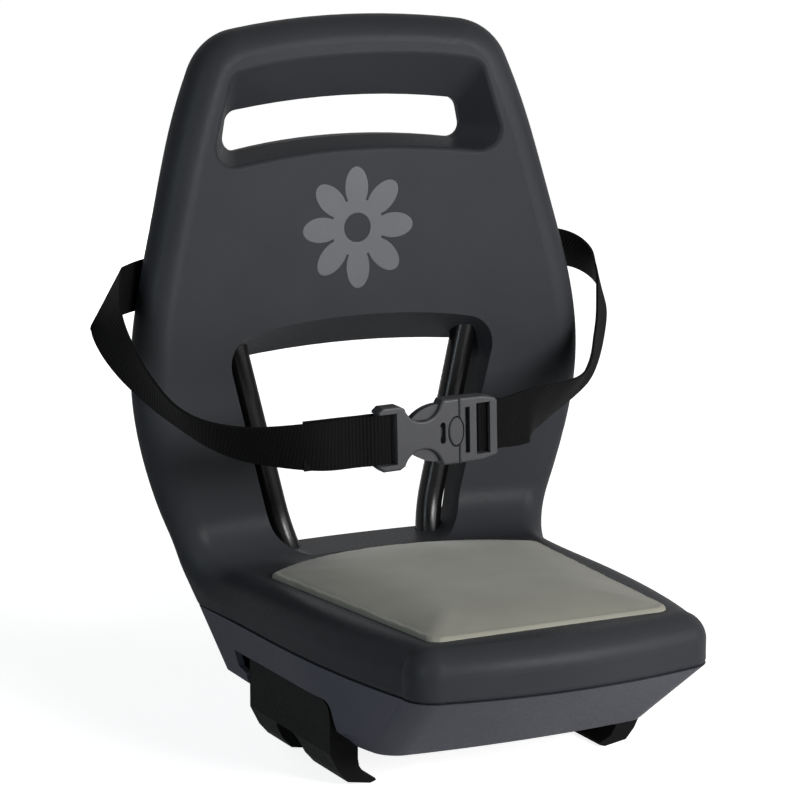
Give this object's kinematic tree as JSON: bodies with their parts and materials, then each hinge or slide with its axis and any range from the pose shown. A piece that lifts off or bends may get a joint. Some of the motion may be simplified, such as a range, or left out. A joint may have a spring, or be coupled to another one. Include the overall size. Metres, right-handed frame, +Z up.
{
  "type": "child bike seat",
  "caption": "Moulded child seat for a rear bicycle carrier, with a handled back, foam pad, buckled hip belt, tubular frame and clamping carrier claws.",
  "frame": {"origin": "on the flat underside of the base, midway between the carrier claws and midway along them", "axes": "+X to the right seen from the front, the seat faces -Y, +Y to the rear, +Z up"},
  "size_m": [0.3648, 0.3113, 0.427],
  "materials": {
    "shell_plastic": "fine satin grain, charcoal",
    "pad_foam": "closed-cell foam skin, warm grey",
    "inlay_plastic": "smooth mid grey",
    "tray_plastic": "satin, dark blue-grey",
    "frame_paint": "gloss black powder coat",
    "black_plastic": "matt black",
    "zinc_steel": "zinc plated",
    "webbing": "black polypropylene weave, ribbed crosswise",
    "buckle_plastic": "satin dark grey"
  },
  "bodies": {
    "seat": {"seat_shell": "shell_plastic", "seat_pad": "pad_foam", "back_inlay": "inlay_plastic", "base_tray": "tray_plastic", "back_frame": "frame_paint", "frame_plugs": "black_plastic", "frame_saddle_front": "zinc_steel", "frame_saddle_rear": "zinc_steel", "saddle_screws": "zinc_steel", "base_screws": "zinc_steel", "anchor_plate_left": "black_plastic", "anchor_plate_right": "black_plastic", "anchor_screws": "zinc_steel", "strap_left": "webbing", "strap_right": "webbing", "buckle_receiver": "buckle_plastic", "buckle_clip": "buckle_plastic"},
    "left_claw": {"jaw_left": "black_plastic", "jaw_bolts_left": "zinc_steel", "jaw_washers_left": "zinc_steel", "jaw_nuts_left": "zinc_steel"},
    "right_claw": {"jaw_right": "black_plastic", "jaw_bolts_right": "zinc_steel", "jaw_washers_right": "zinc_steel", "jaw_nuts_right": "zinc_steel"},
    "lock_button": {"buckle_button": "buckle_plastic"}
  },
  "joints": [
    {"name": "left_claw_slide", "type": "slide", "parent": "seat", "child": "left_claw", "axis": [1, 0, 0], "range_m": [0, 0.025]},
    {"name": "right_claw_slide", "type": "slide", "parent": "seat", "child": "right_claw", "axis": [-1, 0, 0], "range_m": [0, 0.025]},
    {"name": "lock_button_press", "type": "slide", "parent": "seat", "child": "lock_button", "axis": [0, 1, 0], "range_m": [0, 0.0015], "stiffness_N_per_m": 2500}
  ]
}
